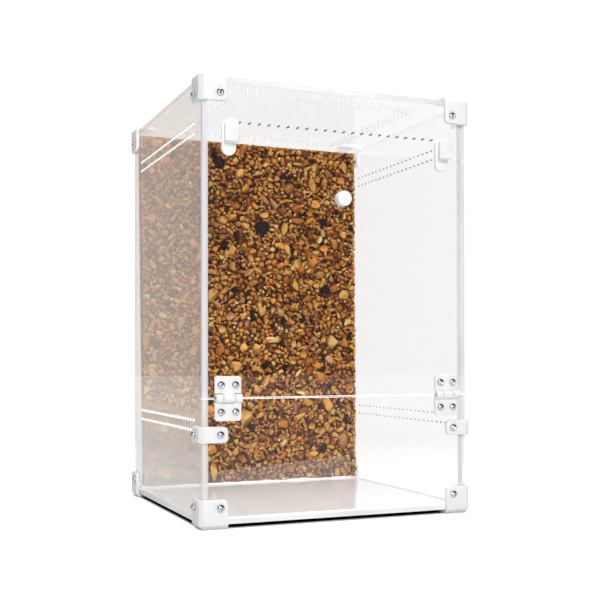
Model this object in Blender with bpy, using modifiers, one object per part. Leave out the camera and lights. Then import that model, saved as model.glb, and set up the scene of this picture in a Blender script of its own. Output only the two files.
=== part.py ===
"""Insect terrarium: a clear acrylic case on white corner brackets, with a drop-down door.

Metres, +Z up. The door faces -Y. The origin is on the table, below the middle of the whole object.
Places are world coordinates until a piece is made, and then relative to the piece's own origin.
"""

import math
import random

import bmesh
import bpy
from mathutils import Matrix, Vector

# Case: outer size of the assembled sheets
CASE_WIDTH = 0.200
CASE_DEPTH = 0.200
CASE_HEIGHT = 0.300
SHEET = 0.0037

# Clearances and other small values that many pieces share
FIT_GAP = 0.0003
CUT_OVERRUN = 0.002
MERGE_DISTANCE = 0.00001
SMOOTH_ANGLE = math.radians(40)

# Front: lower panel, door and fixed strip
SILL_HEIGHT = 0.0838
STRIP_HEIGHT = 0.0396
DOOR_GAP = 0.0006

# Vents
VENT_PITCH = 0.007
VENT_DIAMETER = 0.0018
VENT_SIDES = 4
SIDE_VENT_END = 0.0190
SIDE_VENT_TOP = 0.0282
SIDE_VENT_DROP = 0.0217
STRIP_VENT_END = 0.0260
STRIP_VENT_TOP = 0.0297
TOP_VENT_EDGE = 0.0260

# Corner brackets, and the straps that hold the lower front panel
BRACKET_ARM = 0.020
BRACKET_WALL = 0.0027
BRACKET_OUTER_ROUND = 0.0030
BRACKET_EDGE_ROUND = 0.0013
BRACKET_CORNER_ROUND = 0.0035
BRACKET_SCREW_INSET = 0.0144
STRAP_HEIGHT = 0.011
STRAP_DROP = 0.0238

# Hinges
HINGE_WIDTH = 0.0183
HINGE_HEIGHT = 0.0300
HINGE_INSET = 0.0077
HINGE_LEAF = 0.0025
HINGE_CORNER_ROUND = 0.0022
HINGE_EDGE_ROUND = 0.0004
HINGE_SCREW_SPAN = 0.0101
HINGE_SCREW_DROP = 0.0090
KNUCKLE_RADIUS = 0.0030
KNUCKLE_MIDDLE = 0.0078
KNUCKLE_GAP = 0.0004
KNUCKLE_SIDES = 12
PIN_RADIUS = 0.0010
PIN_HEAD_RADIUS = 0.0019
PIN_HEAD = 0.0006

# Door knob
KNOB_RADIUS = 0.0053
KNOB_LENGTH = 0.0084
KNOB_NECK_RADIUS = 0.0046
KNOB_NECK = 0.0014
KNOB_ROUND = 0.0011
KNOB_BORE = 0.0052
KNOB_DROP = 0.0346
KNOB_SIDES = 16

# Catches
CATCH_WIDTH = 0.0102
CATCH_PLATE = 0.0027
CATCH_RISE = 0.0155
CATCH_DROP = 0.0085
CATCH_EDGE_ROUND = 0.0005
LEFT_CATCH_INSET = 0.0198
RIGHT_CATCH_INSET = 0.0164

# Button-head screws
SCREW_RADIUS = 0.0015
SCREW_CLEARANCE = 0.00025
SCREW_HEAD_RADIUS = 0.0026
SCREW_HEAD = 0.0015
SOCKET_RADIUS = 0.00115
SOCKET_DEPTH = 0.0009
BRACKET_SCREW = 0.0060
HINGE_SCREW = 0.0055
KNOB_SCREW = 0.0080
SCREW_SIDES = 8
SOCKET_SIDES = 6
HOLE_SIDES = 6

# Cork background: its thickness between the chunks, and the chunks that stand out of it
CORK_THICKNESS = 0.0094
CORK_EDGE_GAP = 0.0004
CORK_LEAN = 0.0012
CORK_TURN = 0.0016
CORK_SKEW = 0.0035
CORK_CHUNK = 0.0135
CORK_RELIEF = 0.0024
CORK_PIT_RADIUS = 0.0068
CORK_SEED = 4
CORK_WANDER_SHARE = 0.27
CORK_TOP_SHARES = (0.55, 1.0)
CORK_DIP_SHARES = (0.0, 0.25)
CORK_PIT_SHARES = (
    (0.34, 0.94), (0.54, 0.75), (0.64, 0.91), (0.44, 0.69), (0.85, 0.77), (0.85, 0.57), (0.42, 0.57))

# Heights above the table
CASE_FOOT = BRACKET_WALL + FIT_GAP
CASE_TOP = CASE_FOOT + CASE_HEIGHT
WHOLE_HEIGHT = CASE_TOP + CASE_FOOT
INNER_FOOT = CASE_FOOT + SHEET + FIT_GAP
INNER_TOP = CASE_TOP - SHEET - FIT_GAP
SILL = CASE_FOOT + SILL_HEIGHT
STRIP_FOOT = INNER_TOP + FIT_GAP - STRIP_HEIGHT
STRAP_Z = SILL - STRAP_DROP
BRACKET_SCREW_LOW = BRACKET_SCREW_INSET
BRACKET_SCREW_HIGH = WHOLE_HEIGHT - BRACKET_SCREW_INSET

# Depths. The knob and the rear screw heads reach furthest, and the origin is midway between them
KNOB_REACH = FIT_GAP + KNOB_LENGTH
REAR_REACH = CASE_FOOT + FIT_GAP + SCREW_HEAD
CENTRE_Y = (KNOB_REACH - REAR_REACH) / 2
FRONT = CENTRE_Y - CASE_DEPTH / 2
BACK = CENTRE_Y + CASE_DEPTH / 2
SIDE = CASE_WIDTH / 2

X_AXIS = Vector((1, 0, 0))
Y_AXIS = Vector((0, 1, 0))
Z_AXIS = Vector((0, 0, 1))
HINGE_AXIS = Vector((0, FRONT - FIT_GAP - KNUCKLE_RADIUS, SILL + DOOR_GAP / 2))
LEFT, RIGHT = -1, 1
AT_FRONT, AT_BACK = -1, 1
SIDES = (("left", LEFT), ("right", RIGHT))


class Workshop:
    """The collections, the finishes and the door's pivot that the pieces are made with."""

    def __init__(self):
        self.parts = new_collection("insect_terrarium")
        self.cutters = new_collection("cutters")
        self.cutters.hide_render = True
        self.acrylic = new_material("clear_acrylic", (0.90, 0.94, 0.95), 0.03, alpha=0.25)
        self.plastic = new_material("white_plastic", (0.88, 0.88, 0.87), 0.35)
        self.steel = new_material("screw_steel", (0.62, 0.62, 0.63), 0.22, metallic=1.0)
        self.cork = new_material("cork", (0.50, 0.29, 0.11), 0.90)
        self.pivot = bpy.data.objects.new("door_pivot", None)
        self.pivot.location = HINGE_AXIS
        self.pivot.empty_display_size = KNOB_LENGTH
        self.parts.objects.link(self.pivot)

    def part(self, name, mesh, material, pivot=None):
        """A piece from a mesh in world coordinates. On a pivot its origin is the pivot's."""
        obj = bpy.data.objects.new(name, mesh)
        if pivot:
            mesh.transform(Matrix.Translation(-pivot.location))
            obj.parent = pivot
        mesh.materials.append(material)
        self.parts.objects.link(obj)
        return obj

    def placed(self, name, mesh, material, seat, outward, pivot=None):
        """A piece whose mesh stands on its own XY plane, set on a point and turned to face outwards."""
        obj = bpy.data.objects.new(name, mesh)
        obj.location = seat - pivot.location if pivot else seat
        obj.rotation_euler = Z_AXIS.rotation_difference(outward).to_euler()
        obj.parent = pivot
        if not mesh.materials:
            mesh.materials.append(material)
        self.parts.objects.link(obj)
        return obj

    def helper(self, name, mesh, owner=None):
        """A shape that cuts or joins. It moves with its owner."""
        obj = bpy.data.objects.new(name, mesh)
        obj.hide_render = True
        obj.display_type = "WIRE"
        if owner:
            if owner.parent:
                mesh.transform(Matrix.Translation(-owner.parent.location))
            obj.parent = owner
        self.cutters.objects.link(obj)
        return obj

    def cut(self, obj, label, mesh, operation="DIFFERENCE"):
        """The mesh may hold several closed shapes, also ones that meet."""
        modifier = obj.modifiers.new(label, "BOOLEAN")
        modifier.operation = operation
        modifier.use_self = True
        modifier.object = self.helper(f"{obj.name}_{label}", mesh, obj)
        modifier.solver = "EXACT"


def new_collection(name):
    collection = bpy.data.collections.new(name)
    bpy.context.scene.collection.children.link(collection)
    return collection


def new_material(name, colour, roughness, metallic=0.0, alpha=1.0):
    material = bpy.data.materials.new(name)
    material.use_nodes = True
    shader = material.node_tree.nodes["Principled BSDF"]
    shader.inputs["Base Color"].default_value = (*colour, 1.0)
    shader.inputs["Roughness"].default_value = roughness
    shader.inputs["Metallic"].default_value = metallic
    shader.inputs["Alpha"].default_value = alpha
    material.diffuse_color = (*colour, alpha)
    return material


# Basic shapes

def mesh_from(bm):
    bmesh.ops.recalc_face_normals(bm, faces=bm.faces)
    mesh = bpy.data.meshes.new("shape")
    bm.to_mesh(mesh)
    bm.free()
    return mesh


def add_box(bm, corner, opposite):
    corner, opposite = Vector(corner), Vector(opposite)
    size = [abs(b - a) for a, b in zip(corner, opposite)]
    place = Matrix.Translation((corner + opposite) / 2) @ Matrix.Diagonal((*size, 1))
    bmesh.ops.create_cube(bm, size=1, matrix=place)


def add_cylinder(bm, centre, axis, radius, depth, sides):
    turn = Z_AXIS.rotation_difference(axis).to_matrix().to_4x4()
    place = Matrix.Translation(centre) @ turn
    bmesh.ops.create_cone(
        bm, cap_ends=True, segments=sides, radius1=radius, radius2=radius, depth=depth, matrix=place)


def box_mesh(corner, opposite):
    bm = bmesh.new()
    add_box(bm, corner, opposite)
    return mesh_from(bm)


def cylinders_mesh(centres, axis, radius, depth, sides):
    """A cylinder along the axis at each centre, with its flats no nearer than the radius."""
    bm = bmesh.new()
    for centre in centres:
        add_cylinder(bm, centre, axis, radius / math.cos(math.pi / sides), depth, sides)
    return mesh_from(bm)


def plate_mesh(discs, front, back, sides):
    """A flat plate across Y: the outline is drawn tight around its discs, each (x, z, radius)."""
    bm = bmesh.new()
    for x, z, radius in discs:
        add_cylinder(bm, Vector((x, (front + back) / 2, z)), Y_AXIS, radius, back - front, sides)
    hull = bmesh.ops.convex_hull(bm, input=bm.verts)
    loose = {item for key in ("geom_interior", "geom_unused") for item in hull[key]}
    bmesh.ops.delete(bm, geom=[v for v in loose if isinstance(v, bmesh.types.BMVert)], context="VERTS")
    kept = [face for face in bm.faces if face not in set(hull["geom"])]
    bmesh.ops.delete(bm, geom=kept, context="FACES_ONLY")
    bmesh.ops.dissolve_limit(bm, angle_limit=math.radians(1), verts=bm.verts, edges=bm.edges)
    return mesh_from(bm)


def turned_mesh(shop, profile, sides, label=None, cutter=None):
    """A solid of revolution about Z from (radius, height) points, listed down the outer side."""
    mesh = bpy.data.meshes.new("profile")
    points = [(radius, 0, height) for radius, height in profile]
    mesh.from_pydata(points, [(i, i + 1) for i in range(len(points) - 1)], [])
    obj = shop.helper("turned", mesh)
    modifier = obj.modifiers.new("turned", "SCREW")
    modifier.steps = sides
    modifier.render_steps = sides
    modifier.use_merge_vertices = True
    modifier.merge_threshold = MERGE_DISTANCE
    if cutter:
        shop.cut(obj, label, cutter)
    return baked(obj)


def baked(obj):
    """The evaluated mesh of a helper, which is then removed with the shapes that cut it."""
    bpy.context.view_layer.update()
    graph = bpy.context.evaluated_depsgraph_get()
    mesh = bpy.data.meshes.new_from_object(obj.evaluated_get(graph))
    mesh.shade_smooth()
    mesh.set_sharp_from_angle(angle=SMOOTH_ANGLE)
    for child in list(obj.children):
        bpy.data.objects.remove(child, do_unlink=True)
    bpy.data.objects.remove(obj, do_unlink=True)
    return mesh


def arc(centre_radius, centre_height, radius, start, end, steps):
    """Points of a profile along a rounded edge. Angles are from +X towards +Z."""
    angles = [start + (end - start) * step / steps for step in range(steps + 1)]
    return [(centre_radius + radius * math.cos(a), centre_height + radius * math.sin(a)) for a in angles]


def rounded_edges(obj, width, segments, limit_method):
    modifier = obj.modifiers.new("rounded_edges", "BEVEL")
    modifier.width = width
    modifier.segments = segments
    modifier.limit_method = limit_method
    modifier.angle_limit = SMOOTH_ANGLE


def add_screw_hole(bm, place, axis):
    """A clearance hole, long enough for a sheet and the bracket on it, about a point on the sheet's face."""
    depth = 2 * (SHEET + BRACKET_WALL + CUT_OVERRUN)
    radius = (SCREW_RADIUS + SCREW_CLEARANCE) / math.cos(math.pi / HOLE_SIDES)
    add_cylinder(bm, place, axis, radius, depth, HOLE_SIDES)


def drill(shop, obj, places, axis):
    bm = bmesh.new()
    for place in places:
        add_screw_hole(bm, place, axis)
    shop.cut(obj, "screw_holes", mesh_from(bm))


# Screw places

def face_screw_x(side):
    """A bracket's front or back screw."""
    return side * (SIDE + CASE_FOOT - BRACKET_SCREW_INSET)


def flank_screw_y(end):
    """A bracket's side screw."""
    return CENTRE_Y + end * (CASE_DEPTH / 2 + CASE_FOOT - BRACKET_SCREW_INSET)


def hinge_middle(side):
    return side * (SIDE - HINGE_INSET - HINGE_WIDTH / 2)


def leaf_screws(side, up):
    """The two screws of one hinge leaf: up is 1 for the door's leaf and -1 for the fixed one."""
    z = HINGE_AXIS.z + up * HINGE_SCREW_DROP
    return [Vector((hinge_middle(side) + step * HINGE_SCREW_SPAN / 2, FRONT, z)) for step in (-1, 1)]


def knob_place():
    return Vector((0, FRONT, STRIP_FOOT - KNOB_DROP))


# Vents

def spread(length, end_margin):
    """Places along a row, centred on zero, that leave at least the margin at each end."""
    count = int((length - 2 * end_margin) / VENT_PITCH) + 1
    return [(index - (count - 1) / 2) * VENT_PITCH for index in range(count)]


def cut_vents(shop, panel, centres, axis):
    depth = SHEET + 2 * CUT_OVERRUN
    shop.cut(panel, "vents", cylinders_mesh(centres, axis, VENT_DIAMETER / 2, depth, VENT_SIDES))


def side_vents(side):
    """Two double rows: one near the top, and one just below the sill."""
    upper = CASE_TOP - SIDE_VENT_TOP
    lower = SILL - SIDE_VENT_DROP
    heights = (upper, upper - VENT_PITCH, lower, lower + VENT_PITCH)
    along = spread(CASE_DEPTH - 2 * SHEET, SIDE_VENT_END)
    return [Vector((side * (SIDE - SHEET / 2), CENTRE_Y + y, z)) for z in heights for y in along]


def strip_vents():
    z = CASE_TOP - STRIP_VENT_TOP
    return [Vector((x, FRONT + SHEET / 2, z)) for x in spread(CASE_WIDTH, STRIP_VENT_END)]


def top_vents():
    """Two square rings, one pitch apart."""
    places = []
    for ring in range(2):
        margin = TOP_VENT_EDGE + ring * VENT_PITCH
        across = spread(CASE_WIDTH, margin)
        along = spread(CASE_DEPTH, margin)
        places += [(x, y) for x in across for y in (along[0], along[-1])]
        places += [(x, y) for y in along[1:-1] for x in (across[0], across[-1])]
    return [Vector((x, CENTRE_Y + y, CASE_TOP - SHEET / 2)) for x, y in places]


# Sheets of the case

def panel(shop, name, corner, opposite, pivot=None):
    return shop.part(name, box_mesh(corner, opposite), shop.acrylic, pivot)


def floor_panel(shop):
    panel(shop, "floor_panel", (-SIDE, FRONT, CASE_FOOT), (SIDE, BACK, CASE_FOOT + SHEET))


def top_panel(shop):
    obj = panel(shop, "top_panel", (-SIDE, FRONT, CASE_TOP - SHEET), (SIDE, BACK, CASE_TOP))
    cut_vents(shop, obj, top_vents(), Z_AXIS)


def side_wall(shop, name, side):
    front = (side * SIDE, FRONT + SHEET + FIT_GAP, INNER_FOOT)
    back = (side * (SIDE - SHEET), BACK - SHEET - FIT_GAP, INNER_TOP)
    obj = panel(shop, name, front, back)
    cut_vents(shop, obj, side_vents(side), X_AXIS)
    corners = [(end, z) for end in (AT_FRONT, AT_BACK) for z in (BRACKET_SCREW_LOW, BRACKET_SCREW_HIGH)]
    corners.append((AT_FRONT, STRAP_Z))
    drill(shop, obj, [Vector((side * SIDE, flank_screw_y(end), z)) for end, z in corners], X_AXIS)


def back_wall(shop):
    obj = panel(shop, "back_wall", (-SIDE, BACK - SHEET, INNER_FOOT), (SIDE, BACK, INNER_TOP))
    heights = (BRACKET_SCREW_LOW, BRACKET_SCREW_HIGH)
    holes = [Vector((face_screw_x(side), BACK, z)) for _, side in SIDES for z in heights]
    drill(shop, obj, holes, Y_AXIS)


def lower_front_panel(shop):
    obj = panel(shop, "lower_front_panel", (-SIDE, FRONT, INNER_FOOT), (SIDE, FRONT + SHEET, SILL))
    heights = (BRACKET_SCREW_LOW, STRAP_Z)
    holes = [Vector((face_screw_x(side), FRONT, z)) for _, side in SIDES for z in heights]
    holes += leaf_screws(LEFT, -1) + leaf_screws(RIGHT, -1)
    drill(shop, obj, holes, Y_AXIS)


def front_strip(shop):
    obj = panel(shop, "front_strip", (-SIDE, FRONT, STRIP_FOOT), (SIDE, FRONT + SHEET, INNER_TOP))
    cut_vents(shop, obj, strip_vents(), Y_AXIS)
    holes = [Vector((face_screw_x(side), FRONT, BRACKET_SCREW_HIGH)) for _, side in SIDES]
    drill(shop, obj, holes, Y_AXIS)


def door_panel(shop):
    foot = (-SIDE, FRONT, SILL + DOOR_GAP)
    top = (SIDE, FRONT + SHEET, STRIP_FOOT - DOOR_GAP)
    obj = panel(shop, "door_panel", foot, top, shop.pivot)
    holes = leaf_screws(LEFT, 1) + leaf_screws(RIGHT, 1) + [knob_place()]
    drill(shop, obj, holes, Y_AXIS)


# Brackets and straps

def weigh_edges(mesh, outward, widths):
    """Gives each edge of a box the round for the number of outer faces that it borders: 0, 1 or 2.

    outward says for each axis which end is an outer face: -1, 1, or 0 where both ends are free.
    """
    weights = mesh.attributes.new("bevel_weight_edge", "FLOAT", "EDGE")
    middle = sum((vertex.co for vertex in mesh.vertices), Vector()) / len(mesh.vertices)
    for edge in mesh.edges:
        start, end = (mesh.vertices[index].co for index in edge.vertices)
        along = max(range(3), key=lambda axis: abs(start[axis] - end[axis]))
        others = [axis for axis in range(3) if axis != along]
        outer_faces = sum((start[axis] - middle[axis]) * outward[axis] > 0 for axis in others)
        weights.data[edge.index].value = widths[outer_faces] / max(widths)


def bracket(shop, name, outward, foot, top):
    """Wraps a vertical edge of the case between two heights. It also laps the floor or top, if up is not 0."""
    side, end, up = outward
    corner = Vector((side * (SIDE + CASE_FOOT), CENTRE_Y + end * (CASE_DEPTH / 2 + CASE_FOOT), foot))
    free = Vector((corner.x - side * BRACKET_ARM, corner.y - end * BRACKET_ARM, top))
    obj = shop.part(name, box_mesh(corner, free), shop.plastic)
    rounds = (BRACKET_CORNER_ROUND, BRACKET_EDGE_ROUND, BRACKET_OUTER_ROUND)
    weigh_edges(obj.data, outward, rounds)
    rounded_edges(obj, max(rounds), 2, "WEIGHT")
    height = {-1: BRACKET_SCREW_LOW, 0: (foot + top) / 2, 1: BRACKET_SCREW_HIGH}[up]
    bm = bmesh.new()
    add_box(bm, *bracket_inside(outward, free, foot, top))
    add_screw_hole(bm, Vector((face_screw_x(side), CENTRE_Y + end * CASE_DEPTH / 2, height)), Y_AXIS)
    add_screw_hole(bm, Vector((side * SIDE, flank_screw_y(end), height)), X_AXIS)
    shop.cut(obj, "inside", mesh_from(bm))
    return height


def bracket_inside(outward, free, foot, top):
    """Opposite corners of the space that a bracket leaves for the sheets and beyond its own arms."""
    side, end, up = outward
    inner_foot = foot + BRACKET_WALL if up < 0 else foot - CUT_OVERRUN
    inner_top = top - BRACKET_WALL if up > 0 else top + CUT_OVERRUN
    near = Vector((side * (SIDE + FIT_GAP), CENTRE_Y + end * (CASE_DEPTH / 2 + FIT_GAP), inner_foot))
    beyond = Vector((free.x - side * CUT_OVERRUN, free.y - end * CUT_OVERRUN, inner_top))
    return near, beyond


def fasten(shop, label, side, end, height):
    """The two screws of a bracket or strap."""
    face = Vector((face_screw_x(side), CENTRE_Y + end * (CASE_DEPTH / 2 + CASE_FOOT), height))
    flank = Vector((side * (SIDE + CASE_FOOT), flank_screw_y(end), height))
    screw(shop, f"screw_{label}_face", shop.bracket_screw, face, Vector((0, end, 0)))
    screw(shop, f"screw_{label}_flank", shop.bracket_screw, flank, Vector((side, 0, 0)))


def corner_brackets(shop):
    for level, up, foot in (("bottom", -1, 0), ("top", 1, WHOLE_HEIGHT - BRACKET_ARM)):
        for place, end in (("front", AT_FRONT), ("back", AT_BACK)):
            for flank, side in SIDES:
                label = f"{level}_{place}_{flank}"
                height = bracket(shop, f"bracket_{label}", (side, end, up), foot, foot + BRACKET_ARM)
                fasten(shop, label, side, end, height)


def straps(shop):
    foot = STRAP_Z - STRAP_HEIGHT / 2
    for flank, side in SIDES:
        height = bracket(shop, f"strap_{flank}", (side, AT_FRONT, 0), foot, foot + STRAP_HEIGHT)
        fasten(shop, f"strap_{flank}", side, AT_FRONT, height)


# Screws

def screw_mesh(shop, length):
    """A button-head screw with its head on the XY plane and its shank down -Z."""
    crown_share = 0.62
    profile = [
        (0, SCREW_HEAD),
        (crown_share * SCREW_HEAD_RADIUS, SCREW_HEAD),
        (SCREW_HEAD_RADIUS, 0),
        (SCREW_RADIUS, 0),
        (SCREW_RADIUS, -length),
        (0, -length),
    ]
    depth = SOCKET_DEPTH + CUT_OVERRUN
    centre = Vector((0, 0, SCREW_HEAD - SOCKET_DEPTH + depth / 2))
    socket = cylinders_mesh([centre], Z_AXIS, SOCKET_RADIUS, depth, SOCKET_SIDES)
    return turned_mesh(shop, profile, SCREW_SIDES, "socket", socket)


def screw(shop, name, mesh, surface_point, outward, pivot=None):
    shop.placed(name, mesh, shop.steel, surface_point + outward * FIT_GAP, outward, pivot)


# Hinges

def knuckle_spans(side, fixed):
    """Start and end along X of the barrel pieces of one leaf: the outer two are fixed, the middle one moves."""
    middle = hinge_middle(side)
    if not fixed:
        return [(middle - KNUCKLE_MIDDLE / 2, middle + KNUCKLE_MIDDLE / 2)]
    inner = KNUCKLE_MIDDLE / 2 + KNUCKLE_GAP
    return [(middle - HINGE_WIDTH / 2, middle - inner), (middle + inner, middle + HINGE_WIDTH / 2)]


def leaf(shop, name, side, up, pivot=None):
    """One leaf with its part of the barrel: up is 1 for the door's leaf and -1 for the fixed one."""
    back = FRONT - FIT_GAP
    front = back - HINGE_LEAF
    near = HINGE_AXIS.z + up * (KNUCKLE_RADIUS + KNUCKLE_GAP)
    far = HINGE_AXIS.z + up * HINGE_HEIGHT / 2
    discs = []
    for _, step in SIDES:
        edge = hinge_middle(side) + step * HINGE_WIDTH / 2
        discs.append((edge - step * HINGE_CORNER_ROUND, far - up * HINGE_CORNER_ROUND, HINGE_CORNER_ROUND))
        discs.append((edge - step * HINGE_EDGE_ROUND, near + up * HINGE_EDGE_ROUND, HINGE_EDGE_ROUND))
    obj = shop.part(name, plate_mesh(discs, front, back, 8), shop.plastic, pivot)
    rounded_edges(obj, HINGE_EDGE_ROUND, 1, "ANGLE")
    for index, (start, end) in enumerate(knuckle_spans(side, up < 0)):
        web = box_mesh((start, front, HINGE_AXIS.z), (end, back, near + up * KNUCKLE_GAP))
        shop.cut(obj, f"web_{index}", web, "UNION")
        centre = Vector(((start + end) / 2, HINGE_AXIS.y, HINGE_AXIS.z))
        bm = bmesh.new()
        add_cylinder(bm, centre, X_AXIS, KNUCKLE_RADIUS, end - start, KNUCKLE_SIDES)
        shop.cut(obj, f"knuckle_{index}", mesh_from(bm), "UNION")
    centre = Vector((hinge_middle(side), HINGE_AXIS.y, HINGE_AXIS.z))
    length = HINGE_WIDTH + 2 * CUT_OVERRUN
    shop.cut(obj, "bore", cylinders_mesh([centre], X_AXIS, PIN_RADIUS + FIT_GAP, length, SCREW_SIDES))
    drill(shop, obj, leaf_screws(side, up), Y_AXIS)


def hinge_pin_mesh(shop):
    """A headed pin along Z that starts with its head at the hinge's outer end."""
    profile = [
        (0, PIN_HEAD),
        (PIN_HEAD_RADIUS, PIN_HEAD),
        (PIN_HEAD_RADIUS, 0),
        (PIN_RADIUS, 0),
        (PIN_RADIUS, -HINGE_WIDTH - FIT_GAP),
        (0, -HINGE_WIDTH - FIT_GAP),
    ]
    return turned_mesh(shop, profile, SCREW_SIDES)


def hinges(shop):
    pin = hinge_pin_mesh(shop)
    for flank, side in SIDES:
        leaf(shop, f"hinge_fixed_leaf_{flank}", side, -1)
        leaf(shop, f"hinge_door_leaf_{flank}", side, 1, shop.pivot)
        outer_end = hinge_middle(side) + side * (HINGE_WIDTH / 2 + FIT_GAP)
        seat = Vector((outer_end, HINGE_AXIS.y, HINGE_AXIS.z))
        shop.placed(f"hinge_pin_{flank}", pin, shop.steel, seat, Vector((side, 0, 0)))
        face = -Y_AXIS * (FIT_GAP + HINGE_LEAF)
        for label, up, pivot in (("fixed", -1, None), ("door", 1, shop.pivot)):
            for index, place in enumerate(leaf_screws(side, up), 1):
                name = f"screw_hinge_{label}_{flank}_{index}"
                screw(shop, name, shop.hinge_screw, place + face, -Y_AXIS, pivot)


# Door knob and catches

def knob(shop):
    """A turned knob on the door, held by a screw from inside."""
    rim = KNOB_RADIUS - KNOB_ROUND
    profile = [(0, KNOB_LENGTH)]
    profile += arc(rim, KNOB_LENGTH - KNOB_ROUND, KNOB_ROUND, math.pi / 2, 0, 3)
    profile += [(KNOB_RADIUS, KNOB_NECK), (KNOB_NECK_RADIUS, 0), (0, 0)]
    depth = KNOB_BORE + CUT_OVERRUN
    centre = Vector((0, 0, KNOB_BORE - depth / 2))
    bore = cylinders_mesh([centre], Z_AXIS, SCREW_RADIUS + SCREW_CLEARANCE, depth, HOLE_SIDES)
    mesh = turned_mesh(shop, profile, KNOB_SIDES, "bore", bore)
    seat = knob_place() - Y_AXIS * FIT_GAP
    shop.placed("door_knob", mesh, shop.plastic, seat, -Y_AXIS, shop.pivot)
    inside = knob_place() + Y_AXIS * SHEET
    screw(shop, "screw_knob", screw_mesh(shop, KNOB_SCREW), inside, Y_AXIS, shop.pivot)


def catches(shop):
    """A pair of plates at each side of the strip: the inner ones reach down and stop the door."""
    for flank, side, inset in (("left", LEFT, LEFT_CATCH_INSET), ("right", RIGHT, RIGHT_CATCH_INSET)):
        x = side * (SIDE - inset)
        radius = CATCH_WIDTH / 2
        top = (x, STRIP_FOOT + CATCH_RISE - radius, radius)
        foot = (x, STRIP_FOOT - CATCH_DROP + radius, radius)
        corners = [
            (x + step * (radius - CATCH_EDGE_ROUND), STRIP_FOOT + CATCH_EDGE_ROUND, CATCH_EDGE_ROUND)
            for _, step in SIDES
        ]
        front = FRONT - FIT_GAP
        catch_plate(shop, f"catch_plate_{flank}", [top, *corners], front - CATCH_PLATE, front)
        back = FRONT + SHEET + FIT_GAP
        catch_plate(shop, f"door_stop_{flank}", [top, foot], back, back + CATCH_PLATE)


def catch_plate(shop, name, discs, front, back):
    obj = shop.part(name, plate_mesh(discs, front, back, 12), shop.plastic)
    rounded_edges(obj, CATCH_EDGE_ROUND, 1, "ANGLE")


# Cork background

def cork_point(u, v, lift):
    """A point of the board's front, from its shares of the width and height, and of the relief."""
    low = -SIDE + SHEET + CORK_EDGE_GAP + CORK_SKEW * (1 - v)
    high = SIDE - SHEET - CORK_EDGE_GAP
    foot, top = INNER_FOOT, INNER_TOP - CORK_EDGE_GAP
    thickness = CORK_THICKNESS + CORK_LEAN * (1 - v) + CORK_TURN * (1 - u) + CORK_RELIEF * lift
    return Vector((low + (high - low) * u, BACK - SHEET - FIT_GAP - thickness, foot + (top - foot) * v))


def cork_lift(u, v, chunk, dice):
    """How far a point stands out, as a share of the relief: the top of a chunk, a dip, or a pit."""
    for pit_u, pit_v in CORK_PIT_SHARES:
        if math.hypot((u - pit_u) * CASE_WIDTH, (v - pit_v) * CASE_HEIGHT) < CORK_PIT_RADIUS:
            return 0
    return dice.uniform(*(CORK_TOP_SHARES if chunk else CORK_DIP_SHARES))


def cork_background(shop):
    """A board of pressed cork granules against the back wall, with coarse chunks in its torn front.

    Tops and dips take turns on a grid whose points wander. The board is cut a little off square.
    """
    dice = random.Random(CORK_SEED)
    pitch = CORK_CHUNK / math.sqrt(2)
    columns, rows = round(CASE_WIDTH / pitch), round(CASE_HEIGHT / pitch)
    bm = bmesh.new()
    bmesh.ops.create_grid(bm, x_segments=columns, y_segments=rows, size=1)
    for vertex in bm.verts:
        column = round((vertex.co.x + 1) / 2 * columns)
        row = round((vertex.co.y + 1) / 2 * rows)
        u = (column + dice.uniform(-1, 1) * CORK_WANDER_SHARE * (0 < column < columns)) / columns
        v = (row + dice.uniform(-1, 1) * CORK_WANDER_SHARE * (0 < row < rows)) / rows
        vertex.co = cork_point(u, v, cork_lift(u, v, (column + row) % 2, dice))
    bmesh.ops.triangulate(bm, faces=bm.faces[:], quad_method="SHORT_EDGE")
    sawn = bmesh.ops.extrude_face_region(bm, geom=bm.faces[:])["geom"]
    for vertex in sawn:
        if isinstance(vertex, bmesh.types.BMVert):
            vertex.co.y = BACK - SHEET - FIT_GAP
    bmesh.ops.dissolve_faces(bm, faces=[face for face in sawn if isinstance(face, bmesh.types.BMFace)])
    shop.part("cork_background", mesh_from(bm), shop.cork)


def main():
    for obj in list(bpy.data.objects):
        bpy.data.objects.remove(obj, do_unlink=True)
    shop = Workshop()
    shop.bracket_screw = screw_mesh(shop, BRACKET_SCREW)
    shop.hinge_screw = screw_mesh(shop, HINGE_SCREW)
    floor_panel(shop)
    top_panel(shop)
    for flank, side in SIDES:
        side_wall(shop, f"{flank}_wall", side)
    back_wall(shop)
    lower_front_panel(shop)
    front_strip(shop)
    door_panel(shop)
    corner_brackets(shop)
    straps(shop)
    hinges(shop)
    knob(shop)
    catches(shop)
    cork_background(shop)


main()
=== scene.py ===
import math
import random

import bpy
import numpy as np
from mathutils import Matrix, Vector, noise
from mathutils.bvhtree import BVHTree


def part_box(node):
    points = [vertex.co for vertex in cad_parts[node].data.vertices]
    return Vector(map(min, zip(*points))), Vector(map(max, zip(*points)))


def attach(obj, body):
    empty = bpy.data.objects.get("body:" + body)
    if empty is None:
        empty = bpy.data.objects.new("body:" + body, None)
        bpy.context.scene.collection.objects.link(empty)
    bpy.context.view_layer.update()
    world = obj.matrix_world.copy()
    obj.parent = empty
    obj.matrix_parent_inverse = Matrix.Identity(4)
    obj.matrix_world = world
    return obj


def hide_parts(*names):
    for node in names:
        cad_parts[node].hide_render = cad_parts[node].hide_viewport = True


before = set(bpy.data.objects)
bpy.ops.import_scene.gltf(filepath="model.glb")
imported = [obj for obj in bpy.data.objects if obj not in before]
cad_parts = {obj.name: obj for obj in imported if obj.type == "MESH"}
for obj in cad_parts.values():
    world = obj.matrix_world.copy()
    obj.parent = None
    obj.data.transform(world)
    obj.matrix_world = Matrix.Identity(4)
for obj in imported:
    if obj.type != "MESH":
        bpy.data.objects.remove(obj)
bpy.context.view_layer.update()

X_AXIS = Vector((1, 0, 0))
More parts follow.
